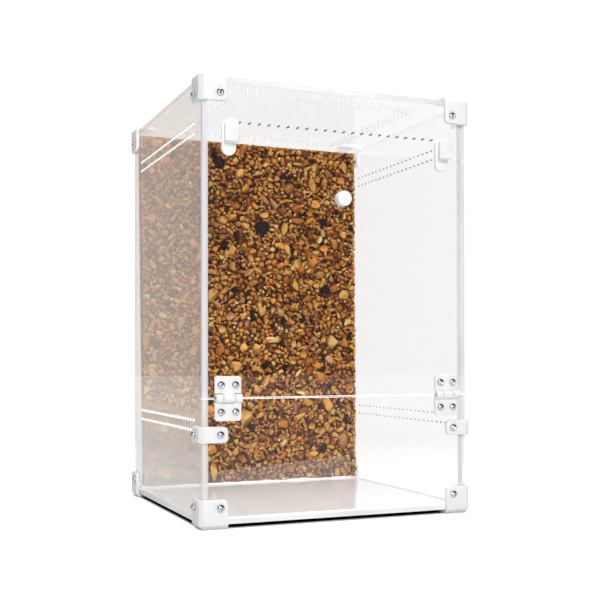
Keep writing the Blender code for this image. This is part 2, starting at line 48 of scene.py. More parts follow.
Y_AXIS = Vector((0, 1, 0))
Z_AXIS = Vector((0, 0, 1))
LEFT, RIGHT = -1, 1
SIDES = (("left", LEFT), ("right", RIGHT))

# Sizes of the case, as its solids have them
CASE_MIDDLE = Vector((0, 0.00195, 0.153))
CASE_TOP = 0.306
CASE_HALF = 0.100
CASE_FRONT = CASE_MIDDLE.y - CASE_HALF
CASE_BACK = CASE_MIDDLE.y + CASE_HALF
BRACKET_OUTSIDE = 0.0030
BRACKET_WALL = 0.0027
SCREW_INSET = 0.0144
SCREW_TOP = CASE_TOP - SCREW_INSET
STRAP_Z = 0.0630
HINGE_AXIS = Vector((0, -0.10135, 0.0871))
HINGE_MIDDLE = 0.08315
KNOB_Z = 0.2251
FIT_GAP = 0.0003
SCREW_HOLE_RADIUS = 0.00175
DRILL_LENGTH = 0.012


# Camera, floor and light

def photo_camera():
    """The photograph's own viewpoint: near the foot of the case, left of the door."""
    turn, tilt, roll = (math.radians(angle) for angle in (23.44, 0.68, -0.14))
    data = bpy.data.cameras.new("photo_camera")
    data.sensor_width = 36
    data.lens = 62.92
    data.shift_x = -0.0562
    data.shift_y = 0.0765
    data.clip_start = 0.01
    camera = linked("photo_camera", data)
    ahead = Vector((math.sin(turn) * math.cos(tilt), math.cos(turn) * math.cos(tilt), math.sin(tilt)))
    level = ahead.cross(Z_AXIS).normalized()
    upright = level.cross(ahead)
    across = level * math.cos(roll) + upright * math.sin(roll)
    up = upright * math.cos(roll) - level * math.sin(roll)
    facing = Matrix((across, up, -ahead)).transposed().to_4x4()
    camera.matrix_world = Matrix.Translation((-0.2969, -0.77055, 0.1138)) @ facing
    bpy.context.scene.camera = camera


def softbox(name, place, aim, size, power):
    data = bpy.data.lights.new(name, "AREA")
    data.size = size
    data.energy = power
    lamp = linked(name, data)
    lamp.location = place
    lamp.rotation_euler = (Vector(aim) - Vector(place)).to_track_quat("-Z", "Y").to_euler()
    lamp.visible_camera = False


# Shader maths

class Wire:
    """The output of a shader node, which sums and products can be written with."""

    def __init__(self, bench, socket):
        self.bench = bench
        self.socket = socket

    def maths(self, operation, *values):
        return self.bench.node("ShaderNodeMath", {"operation": operation}, dict(enumerate(values)))

    def __add__(self, other):
        return self.maths("ADD", self, other)

    def __sub__(self, other):
        return self.maths("SUBTRACT", self, other)

    def __rsub__(self, other):
        return self.maths("SUBTRACT", other, self)

    def __mul__(self, other):
        return self.maths("MULTIPLY", self, other)

    def __pow__(self, other):
        return self.maths("POWER", self, other)

    __radd__ = __add__
    __rmul__ = __mul__

    def or_more(self, other):
        return self.maths("MAXIMUM", self, other)

    def rises(self, start, end):
        """0 up to the start and 1 from the end on, with an even slope at both."""
        settings = {"interpolation_type": "SMOOTHSTEP"}
        return self.bench.node("ShaderNodeMapRange", settings, {"Value": self, 1: start, 2: end})


class Bench:
    """The shader nodes of a material or of the world."""

    def __init__(self, owner):
        owner.use_nodes = True
        self.owner = owner
        self.tree = owner.node_tree

    def node(self, kind, settings=None, sockets=None, output=0):
        """Adds a node, with its settings first and then what its sockets hold or are fed by."""
        made = self.tree.nodes.new(kind)
        for name, value in (settings or {}).items():
            if name == "stops":
                for step, (position, shade) in enumerate(value):
                    stop = made.color_ramp.elements[0] if not step else made.color_ramp.elements.new(position)
                    stop.position = position
                    stop.color = shade
                made.color_ramp.elements.remove(made.color_ramp.elements[-1])
            else:
                setattr(made, name, value)
        self.feed(made, sockets or {})
        return Wire(self, made.outputs[output])

    def feed(self, target, sockets):
        for name, value in sockets.items():
            if isinstance(value, Wire):
                self.tree.links.new(value.socket, target.inputs[name])
            else:
                target.inputs[name].default_value = value

    def mix(self, share, first, second, blend="MIX"):
        """A colour between two, or one of each, by a share."""
        settings = {"data_type": "RGBA", "blend_type": blend}
        return self.node("ShaderNodeMix", settings, {0: share, 6: first, 7: second}, 2)

    def times(self, first, second):
        """The product of two colours."""
        return self.mix(1.0, first, second, "MULTIPLY")

    def place(self):
        return self.node("ShaderNodeTexCoord", output="Object")

    def axes(self):
        """X, Y and Z of a place on the piece."""
        return [self.node("ShaderNodeSeparateXYZ", {}, {"Vector": self.place()}, axis) for axis in "XYZ"]

    def stretched(self, scale):
        return self.node("ShaderNodeMapping", {}, {"Vector": self.place(), "Scale": scale})

    def cloud(self, scale, detail=2.0, where=None):
        """Soft noise, from 0 to 1, with so many cells in a metre."""
        return self.node("ShaderNodeTexNoise", {}, {
            "Vector": where or self.place(), "Scale": scale, "Detail": detail})

    def bump(self, height, distance, strength=1.0):
        return self.node("ShaderNodeBump", {}, {
            "Height": height, "Distance": distance, "Strength": strength})

    def sight(self, *kinds):
        """1 for light rays of one of these kinds, and 0 for others."""
        path = [self.node("ShaderNodeLightPath", output=f"Is {kind} Ray") for kind in kinds]
        seen = path[0]
        for other in path[1:]:
            seen = seen.or_more(other)
        return seen

    def surface(self, **sockets):
        """Sets the Principled shader's sockets, each named with _ for a space."""
        shader = self.tree.nodes["Principled BSDF"]
        self.feed(shader, {name.replace("_", " "): value for name, value in sockets.items()})
        return Wire(self, shader.outputs[0])

    def show(self, shader):
        output = next(node for node in self.tree.nodes if node.bl_idname.startswith("ShaderNodeOutput"))
        self.tree.links.new(shader.socket, output.inputs["Surface"])

    def either(self, share, first, second):
        """One shader mixed with another by a share."""
        return self.node("ShaderNodeMixShader", {}, {0: share, 1: first, 2: second})


def finish(name):
    return Bench(bpy.data.materials.new(name))


def shade(red, green, blue):
    """A shader colour from the three values, 0 to 255, that a picture would hold."""
    def linear(value):
        share = value / 255
        return share / 12.92 if share <= 0.04045 else ((share + 0.055) / 1.055) ** 2.4
    return linear(red), linear(green), linear(blue), 1.0


def grey(level):
    return level, level, level, 1.0


# Finishes

def clear_acrylic(name, grazing=0.9, bends=False, film_and_glow=None, film_colour=shade(226, 225, 229), film_colour_low=None):
    """A polished face: seen through, and more of a mirror the flatter it is looked along.

    Sheets that are looked along bend the view. A film is a share, from 0 to 1, of a faint diffuse layer,
    which may have another colour near the foot, and on the front sheets it holds painted light from the left
    edge.
    """
    bench = finish(name)
    straight = bench.sight("Shadow", "Diffuse")
    facing = bench.node("ShaderNodeLayerWeight", {}, {"Blend": 0.5}, "Facing")
    mirror = (0.02 + grazing * facing ** 5) * (1 - straight)
    smears = bench.cloud(22, 3).rises(0.5, 0.8)
    gloss = bench.surface(
        Base_Color=shade(250, 248, 244), Metallic=1.0, Roughness=0.02 + 0.05 * smears)
    through = bench.node("ShaderNodeBsdfTransparent", {}, {"Color": grey(1.0)})
    if bends:
        bent = bench.node("ShaderNodeBsdfRefraction", {}, {"Color": grey(1.0), "Roughness": 0.0, "IOR": 1.49})
        through = bench.either(straight, bent, through)
    if film_and_glow:
        film_and_glow_shader = bench.node("ShaderNodeBsdfDiffuse", {}, {"Color": film_colour})
        if film_colour_low:
            at_foot = bench.node("ShaderNodeBsdfDiffuse", {}, {"Color": film_colour_low})
            film_and_glow_shader = bench.either(bench.axes()[2].rises(0.03, 0.12), at_foot, film_and_glow_shader)
        through = bench.either(film_and_glow(bench) * (1 - straight), through, film_and_glow_shader)
    bench.show(bench.either(mirror, through, gloss))
    return bench.owner


def edge_glow(x):
    """Painted light: the light that a front sheet's left edge throws into its face, in a narrow band."""
    return 0.7 * (1 - x.rises(-0.0964, -0.0962))


def foot_film_and_glow(bench):
    """The lower front panel's film, up to a line that climbs to the right, with its left edge's painted
    light.
    """
    x, _, z = bench.axes()
    below = 1 - (z - 0.072 * x).rises(0.0446, 0.0455)
    return 0.08 * below * (1 - x.rises(0.0, 0.012)) + edge_glow(x)


# A faint film, with the left edge's painted light.
def door_film_and_glow(bench):
    return 0.006 + edge_glow(bench.axes()[0])


# A faint film, with the left edge's painted light.
def strip_film_and_glow(bench):
    return 0.02 + edge_glow(bench.axes()[0])


def flank_film(bench):
    """A side wall's film, thicker towards its foot."""
    return 0.205 + 0.18 * (1 - bench.axes()[2].rises(0.02, 0.13))


def acrylic_edge(name, pale, dark, alpha, glow=0.0, within=None):
    """A sawn and polished edge: light gathers in it, painted into its colour in faint bands along
    its length and as a glow where one is given.

    Looked at from within its sheet it may be fainter.
    """
    bench = finish(name)
    if within is not None:
        alpha = alpha + (within - alpha) * bench.node("ShaderNodeNewGeometry", output="Backfacing")
    bands = bench.cloud(9, 3)
    streaks = bench.cloud(260, 2)
    bench.surface(
        Base_Color=bench.mix(bands.rises(0.35, 0.7), pale, dark),
        Roughness=0.16 + 0.16 * streaks,
        Alpha=alpha + 0.08 * (1 - bands),
        Emission_Color=pale,
        Emission_Strength=glow,
        Normal=bench.bump(streaks, 0.00004))
    return bench.owner


def vent_wall(name, colour, alpha, glow=0.0, fades=False):
    """The frosted wall that a laser leaves in a hole, in painted light and shade: a colour for each sheet,
    lighter or darker by how the sheet is lit, and a glow where one is given. It may fade towards the back of
    the case.
    """
    bench = finish(name)
    frost = bench.cloud(2600, 2)
    if fades:
        alpha = alpha * (1.1 - bench.axes()[1].rises(-0.09, 0.11))
    bench.surface(
        Base_Color=bench.times(colour, bench.mix(frost, grey(0.82), grey(1.0))),
        Roughness=0.4 + 0.3 * frost,
        Emission_Color=colour,
        Emission_Strength=glow,
        Alpha=alpha)
    return bench.owner


def milky_acrylic():
    """The floor sheet: white from above, with the shine of a polished sheet."""
    bench = finish("milky_acrylic")
    haze = bench.cloud(30, 3)
    bench.surface(
        Base_Color=bench.mix(haze, shade(246, 249, 252), shade(250, 253, 255)),
        Roughness=0.07 + 0.08 * haze,
        IOR=1.36)
    return bench.owner


def white_plastic():
    """Moulded plastic, with painted light: a glow where the view has come through several panes, giving back
    light that the panes take.
    """
    bench = finish("white_plastic")
    panes = (bench.node("ShaderNodeLightPath", output="Transparent Depth")
             + bench.node("ShaderNodeLightPath", output="Transmission Depth"))
    grain = bench.cloud(1800, 3)
    drift = bench.cloud(60, 2)
    bench.surface(
        Base_Color=bench.mix(drift, shade(236, 236, 236), shade(243, 243, 244)),
        Roughness=0.30 + 0.14 * grain,
        Specular_IOR_Level=0.22,
        # Painted light: a glow that grows with the number of panes the view has come through.
        Emission_Color=bench.mix(panes.rises(1.5, 5.5), grey(0.0), grey(1.0)),
        Emission_Strength=0.5,
        Subsurface_Weight=0.35,
        Subsurface_Radius=(0.003, 0.003, 0.003),
        Subsurface_Scale=1.0,
        Normal=bench.bump(grain, 0.00005, 0.6))
    return bench.owner


def brushed_steel():
    bench = finish("brushed_steel")
    lines = bench.cloud(900, 3, bench.stretched((1.0, 1.0, 6.0)))
    bench.surface(
        Base_Color=bench.mix(lines, shade(176, 177, 180), shade(206, 206, 208)),
        Metallic=1.0,
        Roughness=0.16 + 0.16 * lines,
        Normal=bench.bump(lines, 0.00002, 0.5))
    return bench.owner


# Tones of cork, each with its share of the chips and its colour
CORK_SHADES = {
    "pale": (0.11, shade(255, 220, 146)),
    "tan": (0.34, shade(255, 198, 108)),
    "ochre": (0.27, shade(246, 176, 78)),
    "orange": (0.035, shade(244, 152, 62)),
    "pink": (0.045, shade(230, 174, 134)),
    "brown": (0.12, shade(200, 126, 58)),
    "dark": (0.05, shade(136, 76, 34)),
    "black": (0.03, shade(42, 26, 15)),
}


def cork_chips():
    """Torn cork: each chip has a colour of its own with painted shade and light in it, and is mottled."""
    bench = finish("cork_chips")
    own = bench.node("ShaderNodeAttribute", {"attribute_name": "chip_colour_and_shade"}, output="Color")
    mottle = bench.cloud(750, 4)
    pores = bench.cloud(2300, 3)
    shaded_and_mottled = bench.times(own, bench.mix(mottle, shade(214, 200, 188), shade(255, 255, 250)))
    bench.surface(
        Base_Color=bench.mix(pores.rises(0.62, 0.74) * 0.35, shaded_and_mottled, shade(84, 48, 26)),
        Roughness=0.80 + 0.15 * pores,
        Specular_IOR_Level=0.25,
        Normal=bench.bump(mottle + 0.4 * pores, 0.0005, 0.7))
    return bench.owner


def sawn_cork():
    """The board's flat back and sides: chips cut through, with dark seams between, and a painted glowing
    white band along its foot.
    """
    bench = finish("sawn_cork")
    where = bench.place()
    cells = {"Vector": where, "Scale": 290.0}
    kind = bench.node("ShaderNodeTexVoronoi", {}, cells, "Color")
    seam = bench.node("ShaderNodeTexVoronoi", {"feature": "DISTANCE_TO_EDGE"}, cells)
    stops, low = [], 0.0
    for weight, colour in CORK_SHADES.values():
        stops.append((low, colour))
        low += weight
    pick = bench.node("ShaderNodeSeparateColor", {}, {"Color": kind})
    chip = bench.node("ShaderNodeValToRGB", {"stops": stops}, {"Fac": pick})
    mottle = bench.cloud(900, 4)
    chip = bench.times(chip, bench.mix(mottle, grey(0.55), grey(1.0)))
    # Painted light: the board's lowest millimetre or so is white and glows, for the light that shows through
    # under the board.
    foot = 1 - bench.axes()[2].rises(0.0084, 0.0088)
    cut = bench.mix(seam.rises(0.02, 0.14), shade(44, 26, 18), chip)
    bench.surface(
        Base_Color=bench.mix(foot, cut, grey(0.9)),
        Emission_Color=bench.mix(foot, grey(0.0), grey(1.0)),
        Emission_Strength=0.8,
        Roughness=0.9,
        Specular_IOR_Level=0.2,
        Normal=bench.bump(seam.rises(0.0, 0.16) + 0.3 * mottle, 0.0004, 0.6))
    return bench.owner


# Modelling

def only(obj):
    """Makes one object the selected and active one."""
    for other in bpy.context.selected_objects:
        other.select_set(False)
    obj.select_set(True)
    bpy.context.view_layer.objects.active = obj


def linked(name, data):
    """A mesh, camera or lamp in the scene."""
    obj = bpy.data.objects.new(name, data)
    bpy.context.scene.collection.objects.link(obj)
    return obj


def added(name, primitive, **sizes):
    """A primitive, named and active."""
    bpy.ops.object.select_all(action="DESELECT")
    primitive(**sizes)
    obj = bpy.context.active_object
    obj.name = obj.data.name = name
    return obj


def block(name, low, high):
    """A box between two corners."""
    low, high = Vector(low), Vector(high)
    obj = added(name, bpy.ops.mesh.primitive_cube_add, size=1, location=(low + high) / 2)
    obj.scale = high - low
    bpy.ops.object.transform_apply(location=True, rotation=True, scale=True)
    return obj


def rod(name, middle, axis, radius, length, sides=12):
    """A round bar about a middle, along an axis."""
    obj = added(name, bpy.ops.mesh.primitive_cylinder_add, vertices=sides, radius=radius, depth=length)
    obj.data.transform(Matrix.Translation(middle) @ Z_AXIS.rotation_difference(axis).to_matrix().to_4x4())
    return obj


def use(obj, kind, **settings):
    """Adds a modifier and applies it."""
    modifier = obj.modifiers.new(kind.lower(), kind)
    for name, value in settings.items():
        setattr(modifier, name, value)
    only(obj)
    bpy.ops.object.modifier_apply(modifier=modifier.name)


def combine(obj, tool, operation="DIFFERENCE"):
    """Cuts one piece with another, or joins it on, and removes the tool."""
    use(obj, "BOOLEAN", object=tool, operation=operation, solver="EXACT", use_self=True)
    bpy.data.objects.remove(tool, do_unlink=True)


def bevel_edges(obj, test, width, segments):
    """Rounds the edges whose two ends pass the test."""
    mesh = obj.data
    for group in (mesh.vertices, mesh.edges, mesh.polygons):
        group.foreach_set("select", [False] * len(group))
    for edge in mesh.edges:
        edge.select = test(*(mesh.vertices[index].co for index in edge.vertices))
    bpy.context.tool_settings.mesh_select_mode = (False, True, False)
    only(obj)
    bpy.ops.object.mode_set(mode="EDIT")
    bpy.ops.mesh.bevel(offset=width, segments=segments, affect="EDGES")
    bpy.ops.object.mode_set(mode="OBJECT")


def tidied(obj, angle=35):
    """Merges doubles, turns the faces outwards and smooths across shallow edges."""
    only(obj)
    bpy.ops.object.mode_set(mode="EDIT")
    bpy.ops.mesh.select_all(action="SELECT")
    bpy.ops.mesh.remove_doubles(threshold=0.000002)
    bpy.ops.mesh.normals_make_consistent(inside=False)
    bpy.ops.object.mode_set(mode="OBJECT")
    bpy.ops.object.shade_smooth_by_angle(angle=math.radians(angle))
    return obj


def copy_of(obj, name, place):
    """A copy with a mesh of its own, moved, turned or mirrored."""
    mesh = obj.data.copy()
    mesh.transform(place)
    if place.determinant() < 0:
        mesh.flip_normals()
    mesh.name = name
    return linked(name, mesh)


def dress(piece, body, nodes, slot, *finishes):
    """Gives a finished piece its materials, the body that it rides on and the nodes it stands for."""
    for material in finishes:
        piece.data.materials.append(material)
    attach(piece, body)
    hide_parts(*nodes)


def plate(name, low, high, rounds, edge_round, steps=7):
    """A flat plate across Y, with each named corner, a pair of X and Z sides, rounded in outline."""
    obj = block(name, low, high)
    low, high = Vector(low), Vector(high)
    for (x_side, z_side), radius in rounds.items():
        x = high.x if x_side > 0 else low.x
        z = high.z if z_side > 0 else low.z

        def at_corner(*ends):
            return all(abs(end.x - x) < 0.00001 and abs(end.z - z) < 0.00001 for end in ends)

        bevel_edges(obj, at_corner, radius, steps)
    use(obj, "BEVEL", width=edge_round, segments=3, limit_method="ANGLE", angle_limit=math.radians(40))
    return obj


def turned(name, profile, sides):
    """A solid of revolution about Z, from (radius, height) points down its outer side."""
    mesh = bpy.data.meshes.new(name)
    mesh.from_pydata([(radius, 0, height) for radius, height in profile],
                     [(i, i + 1) for i in range(len(profile) - 1)], [])
    obj = linked(name, mesh)
    use(obj, "SCREW", steps=sides, render_steps=sides, use_merge_vertices=True, merge_threshold=0.00001)
    return tidied(obj)


def rounding(middle, radius, start, end, steps):
    """Points along a rounded edge of a profile, by angles in degrees from outwards to upwards."""
    angles = [math.radians(start + (end - start) * step / steps) for step in range(steps + 1)]
    return [(middle[0] + radius * math.cos(a), middle[1] + radius * math.sin(a)) for a in angles]


# Sheets

SHEET_THICKNESS = 0.0037
SHEET_ROUND = 0.00025
VENT_PITCH = 0.007
VENT_RADIUS = 0.0009
WALL_VENT_RADIUS = {LEFT: VENT_RADIUS * 1.4, RIGHT: VENT_RADIUS * 0.9}
STRIP_VENT_RADIUS = VENT_RADIUS * 0.65
WALL_VENT_HEIGHTS = (0.2748, 0.2678, 0.0651, 0.0721)
STRIP_VENT_HEIGHT = 0.2733
SOFT_EDGE = (shade(244, 244, 245), shade(232, 232, 234))
CLEAR, EDGE, VENT, SILL = range(4)


def row(count):
    return [(index - (count - 1) / 2) * VENT_PITCH for index in range(count)]


def side_vents(side):
    x = side * (CASE_HALF - 0.00185)
    return [Vector((x, CASE_MIDDLE.y + y, z)) for z in WALL_VENT_HEIGHTS for y in row(23)]


def strip_vents():
    return [Vector((x, CASE_FRONT, STRIP_VENT_HEIGHT)) for x in row(22)]


def top_vents():
    places = []
    for count in (22, 20):
        ends = row(count)
        places += [(a, b) for a in ends for b in (ends[0], ends[-1])]
        places += [(b, a) for a in ends[1:-1] for b in (ends[0], ends[-1])]
    return [Vector((x, CASE_MIDDLE.y + y, 0.3012)) for x, y in places]


def drilled(sheet, places, axis, radius):
    """Cuts a round hole through the sheet at each place, with frosted walls."""
    tool = rod("drill", Vector(), axis, radius, DRILL_LENGTH)
    shape = np.array([vertex.co for vertex in tool.data.vertices])
    faces = [list(face.vertices) for face in tool.data.polygons]
    points = [shape + np.array(place) for place in places]
    mesh = bpy.data.meshes.new("drills")
    mesh.from_pydata(np.vstack(points).tolist(), [], [
        [index + step * len(shape) for index in face] for step in range(len(places)) for face in faces])
    mesh.polygons.foreach_set("material_index", [VENT] * len(mesh.polygons))
    tool.data = mesh
    combine(sheet, tool)


def sheet(node, axis, body, finishes, vents=(), screws=(), vent_radius=VENT_RADIUS, down=0.0):
    """One sheet of the case in place of its solid: clear faces, polished edges and drilled holes.

    Its finishes are for the faces, edges and vents, and a fourth one for edges above and below.
    """
    low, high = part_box(node)
    piece = block(f"{node}_sheet", low - Z_AXIS * down, high)
    for material in finishes:
        piece.data.materials.append(material)
    use(piece, "BEVEL", width=SHEET_ROUND, segments=2, limit_method="ANGLE")
    if vents:
        drilled(piece, vents, axis, vent_radius)
    for place, direction in screws:
        drilled(piece, [place], direction, SCREW_HOLE_RADIUS)
    for face in piece.data.polygons:
        if face.material_index == VENT:
            continue
        face.material_index = EDGE
        if abs(face.normal.dot(axis)) > 0.99:
            face.material_index = CLEAR
        elif len(finishes) > SILL and abs(face.normal.z) > 0.3:
            face.material_index = SILL
    tidied(piece, 20)
    dress(piece, body, [node], "clear_acrylic")
    return piece


def leaf_screws(side, up):
    z = HINGE_AXIS.z + up * 0.0090
    return [Vector((side * HINGE_MIDDLE + step * 0.00505, CASE_FRONT, z)) for step in (-1, 1)]


def face_screw_x(side):
    return side * (CASE_HALF + BRACKET_OUTSIDE - SCREW_INSET)


def flank_screw_y(end):
    return CASE_MIDDLE.y + end * (CASE_HALF + BRACKET_OUTSIDE - SCREW_INSET)


def face_screws(y, *heights):
    """Where screws go through a front or back sheet, left and right at each height."""
    return [(Vector((face_screw_x(side), y, z)), Y_AXIS) for _, side in SIDES for z in heights]


def repaint(sheet, direction, material, reach=0.9):
    """Gives the faces that look in this direction another material."""
    sheet.data.materials.append(material)
    for face in sheet.data.polygons:
        if face.normal.dot(direction) > reach:
            face.material_index = len(sheet.data.materials) - 1


def floor_and_top(glowing_vents):
    foot_edge = acrylic_edge("acrylic_foot_edge", shade(250, 250, 251), shade(232, 231, 235), 0.92)
    # Painted shade: the floor sheet's underside is dark grey, so the gap under the case reads dark.
    shaded_underside = acrylic_edge("acrylic_underside", shade(92, 92, 94), shade(70, 70, 74), 0.92)
    floor = sheet("floor_panel", Z_AXIS, "case", (milky_acrylic(), foot_edge, glowing_vents))
    repaint(floor, -Z_AXIS, shaded_underside)
    overhead = clear_acrylic("clear_acrylic_top", grazing=0.12)
    top_edge = acrylic_edge("acrylic_roof_edge", *SOFT_EDGE, 0.84, within=0.08)
    # Painted light and shade: the top sheet's front edge is darker and its left edge paler than its other
    # edges.
    top_front = acrylic_edge("acrylic_roof_front", shade(246, 246, 246), shade(218, 218, 217), 0.80)
    top_left = acrylic_edge("acrylic_roof_left", shade(252, 251, 250), shade(246, 245, 244), 0.75)
    # Painted light: the top sheet's vent walls are pale and glow.
    faint_vents = vent_wall("vent_wall_faint", grey(0.82), 0.52, glow=0.34)
    top = sheet("top_panel", Z_AXIS, "case", (overhead, top_edge, faint_vents), top_vents())
    repaint(top, -Y_AXIS, top_front)
    repaint(top, -X_AXIS, top_left)


def side_walls(edge, outer_edge, faint, glowing_vents):
    clear = {
        LEFT: clear_acrylic("clear_acrylic_left", bends=True, film_and_glow=flank_film,
                            film_colour=shade(255, 230, 206), film_colour_low=shade(255, 249, 245)),
        RIGHT: clear_acrylic("clear_acrylic_right", bends=True)}
    # Painted shade: the right wall's vent walls are grey, where the left wall's are white and glow.
    vents = {LEFT: glowing_vents, RIGHT: vent_wall("vent_wall_grey", grey(0.34), 0.28, fades=True)}
    for flank, side in SIDES:
        holes = [(end, z) for end in (-1, 1) for z in (SCREW_INSET, SCREW_TOP)]
        holes.append((-1, STRAP_Z))
        screws = [(Vector((side * CASE_HALF, flank_screw_y(end), z)), X_AXIS) for end, z in holes]
        wall = sheet(f"{flank}_wall", X_AXIS, "case", (clear[side], edge, vents[side], outer_edge),
                     side_vents(side), screws, WALL_VENT_RADIUS[side], 0.8 * FIT_GAP)
        repaint(wall, -Z_AXIS, faint, 0.3)


def back_and_front(edge, outer_edge, faint, glowing_vents):
    clear = clear_acrylic("clear_acrylic")
    sheet("back_wall", Y_AXIS, "case", (clear, edge, glowing_vents, outer_edge),
          screws=face_screws(CASE_BACK, SCREW_INSET, SCREW_TOP))
    # Painted light: the lower panel's edges above and below and the door's lower edge are white and glow.
    sill = acrylic_edge("acrylic_sill", shade(252, 252, 252), shade(240, 240, 242), 0.92, 0.5)
    fixed_front = clear_acrylic("clear_acrylic_low", film_and_glow=foot_film_and_glow, film_colour=shade(228, 221, 213))
    fixed = face_screws(CASE_FRONT, SCREW_INSET, STRAP_Z)
    fixed += [(place, Y_AXIS) for _, side in SIDES for place in leaf_screws(side, -1)]
    sheet("lower_front_panel", Y_AXIS, "case", (fixed_front, edge, glowing_vents, sill), screws=fixed)
    strip_front = clear_acrylic("clear_acrylic_strip", film_and_glow=strip_film_and_glow)
    # Painted shade: the front strip's vent walls are near black.
    dark_vents = vent_wall("vent_wall_dark", grey(0.14), 0.80)
    sheet("front_strip", Y_AXIS, "case", (strip_front, edge, dark_vents, faint), strip_vents(),
          face_screws(CASE_FRONT, SCREW_TOP), STRIP_VENT_RADIUS)
    door_front = clear_acrylic("clear_acrylic_door", film_and_glow=door_film_and_glow)
    leaves = [(place, Y_AXIS) for _, side in SIDES for place in leaf_screws(side, 1)]
    leaves.append((Vector((0, CASE_FRONT, KNOB_Z)), Y_AXIS))
    door = sheet("door_panel", Y_AXIS, "door", (door_front, edge, glowing_vents, sill), screws=leaves)
    repaint(door, Z_AXIS, outer_edge, 0.3)


def sheets():
    edge = acrylic_edge("acrylic_edge", shade(246, 246, 248), shade(236, 235, 240), 0.72)
    outer_edge = acrylic_edge("acrylic_edge_outer", *SOFT_EDGE, 0.84, within=0.04)
    faint = acrylic_edge("acrylic_edge_faint", *SOFT_EDGE, 0.04)
    # Painted light: these vent walls are white and glow.
    glowing_vents = vent_wall("vent_wall_glowing", grey(0.95), 1.0, glow=0.35)
    floor_and_top(glowing_vents)
    side_walls(edge, outer_edge, faint, glowing_vents)
    back_and_front(edge, outer_edge, faint, glowing_vents)


# White plastic pieces

BRACKET_CHAMFER = 0.0030
BRACKET_CORNER = 0.0035
BRACKET_RIM = 0.0013
CUT_BEYOND = 0.002


def mirrored(signs):
    """A mirroring of the case about its middle along each axis that has -1."""
    return (Matrix.Translation(CASE_MIDDLE) @ Matrix.Diagonal((*signs, 1))
            @ Matrix.Translation(-CASE_MIDDLE))


def angle_piece(obj, rounded, low, high, screws):
    """Rounds a block's edges, each as told, cuts its inside away and drills for its screws."""
    weights = obj.data.attributes.new("bevel_weight_edge", "FLOAT", "EDGE")
    for edge in obj.data.edges:
        ends = (obj.data.vertices[index].co for index in edge.vertices)
        weights.data[edge.index].value = rounded(*ends) / BRACKET_CORNER
    use(obj, "BEVEL", width=BRACKET_CORNER, segments=7, limit_method="WEIGHT")
    combine(obj, block("inside", low, high))
    for place, axis in screws:
        combine(obj, rod("drill", place, axis, SCREW_HOLE_RADIUS, DRILL_LENGTH, 16))
    use(obj, "BEVEL", width=0.0003, segments=2, limit_method="ANGLE", angle_limit=math.radians(42))
    return tidied(obj)


def bracket():
    """The top back right corner bracket. The other seven are its mirror images."""
    low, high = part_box("bracket_top_back_right")
    obj = block("bracket", low, high)

    def both_outer(*ends):
        return sum(all(abs(end[axis] - high[axis]) < 0.00001 for end in ends) for axis in range(3)) == 2

    def rounded(a, b):
        across = [axis for axis in range(3) if abs(a[axis] - b[axis]) < 0.0001]
        free_sides = sum(abs(a[axis] - low[axis]) < 0.0001 for axis in across)
        return (0, BRACKET_RIM, BRACKET_CORNER)[free_sides] if len(across) == 2 else 0

    bevel_edges(obj, both_outer, BRACKET_CHAMFER, 1)
    inside_low = low - Vector((CUT_BEYOND,) * 3)
    inside_high = high - Vector((BRACKET_WALL,) * 3)
    return angle_piece(obj, rounded, inside_low, inside_high, bracket_screws(RIGHT, 1, SCREW_TOP))


def strap():
    """The right strap, without the bracket's foot. The left one is its mirror image."""
    low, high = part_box("strap_right")
    obj = block("strap", low, high)

    def at_corner(*ends):
        return all(abs(end.x - high.x) < 0.00001 and abs(end.y - low.y) < 0.00001 for end in ends)

    def rounded(a, b):
        free_sides = sum(abs(a[axis] - b[axis]) < 0.0001 and abs(a[axis] - end) < 0.0001
                         for axis, end in ((0, low.x), (1, high.y)))
        slanted = abs(a.x - b.x) > 0.0001 and abs(a.y - b.y) > 0.0001
        if abs(a.z - b.z) < 0.0001 and not slanted:
            return BRACKET_CORNER if free_sides else BRACKET_RIM
        return BRACKET_RIM if free_sides else 0

    bevel_edges(obj, at_corner, BRACKET_CHAMFER, 1)
    inside_low = (low.x - CUT_BEYOND, low.y + BRACKET_WALL, low.z - CUT_BEYOND)
    inside_high = (high.x - BRACKET_WALL, high.y + CUT_BEYOND, high.z + CUT_BEYOND)
    return angle_piece(obj, rounded, inside_low, inside_high, bracket_screws(RIGHT, -1, STRAP_Z))


def bracket_screws(side, end, z):
    """Seats of a bracket's two screws, each with the way that it faces."""
    reach = CASE_HALF + BRACKET_OUTSIDE
    return [
        (Vector((face_screw_x(side), CASE_MIDDLE.y + end * reach, z)), Vector((0, end, 0))),
        (Vector((side * reach, flank_screw_y(end), z)), Vector((side, 0, 0))),
    ]


def brackets(plastic, screw):
    model = bracket()
    for level, up, z in (("bottom", -1, SCREW_INSET), ("top", 1, SCREW_TOP)):
        for depth, end in (("front", -1), ("back", 1)):
            for flank, side in SIDES:
                label = f"{level}_{depth}_{flank}"
                piece = copy_of(model, f"corner_bracket_{label}", mirrored((side, end, up)))
                dress(piece, "case", [f"bracket_{label}"], "white_plastic", plastic)
                fasten(screw, label, side, end, z)
    bpy.data.objects.remove(model, do_unlink=True)
    model = strap()
    for flank, side in SIDES:
        piece = copy_of(model, f"panel_strap_{flank}", mirrored((side, 1, 1)))
        dress(piece, "case", [f"strap_{flank}"], "white_plastic", plastic)
        fasten(screw, f"strap_{flank}", side, -1, STRAP_Z)
    bpy.data.objects.remove(model, do_unlink=True)


LEAF_THICKNESS = 0.0025
KNUCKLE_RADIUS = 0.0030
KNUCKLE_PLAY = 0.0004


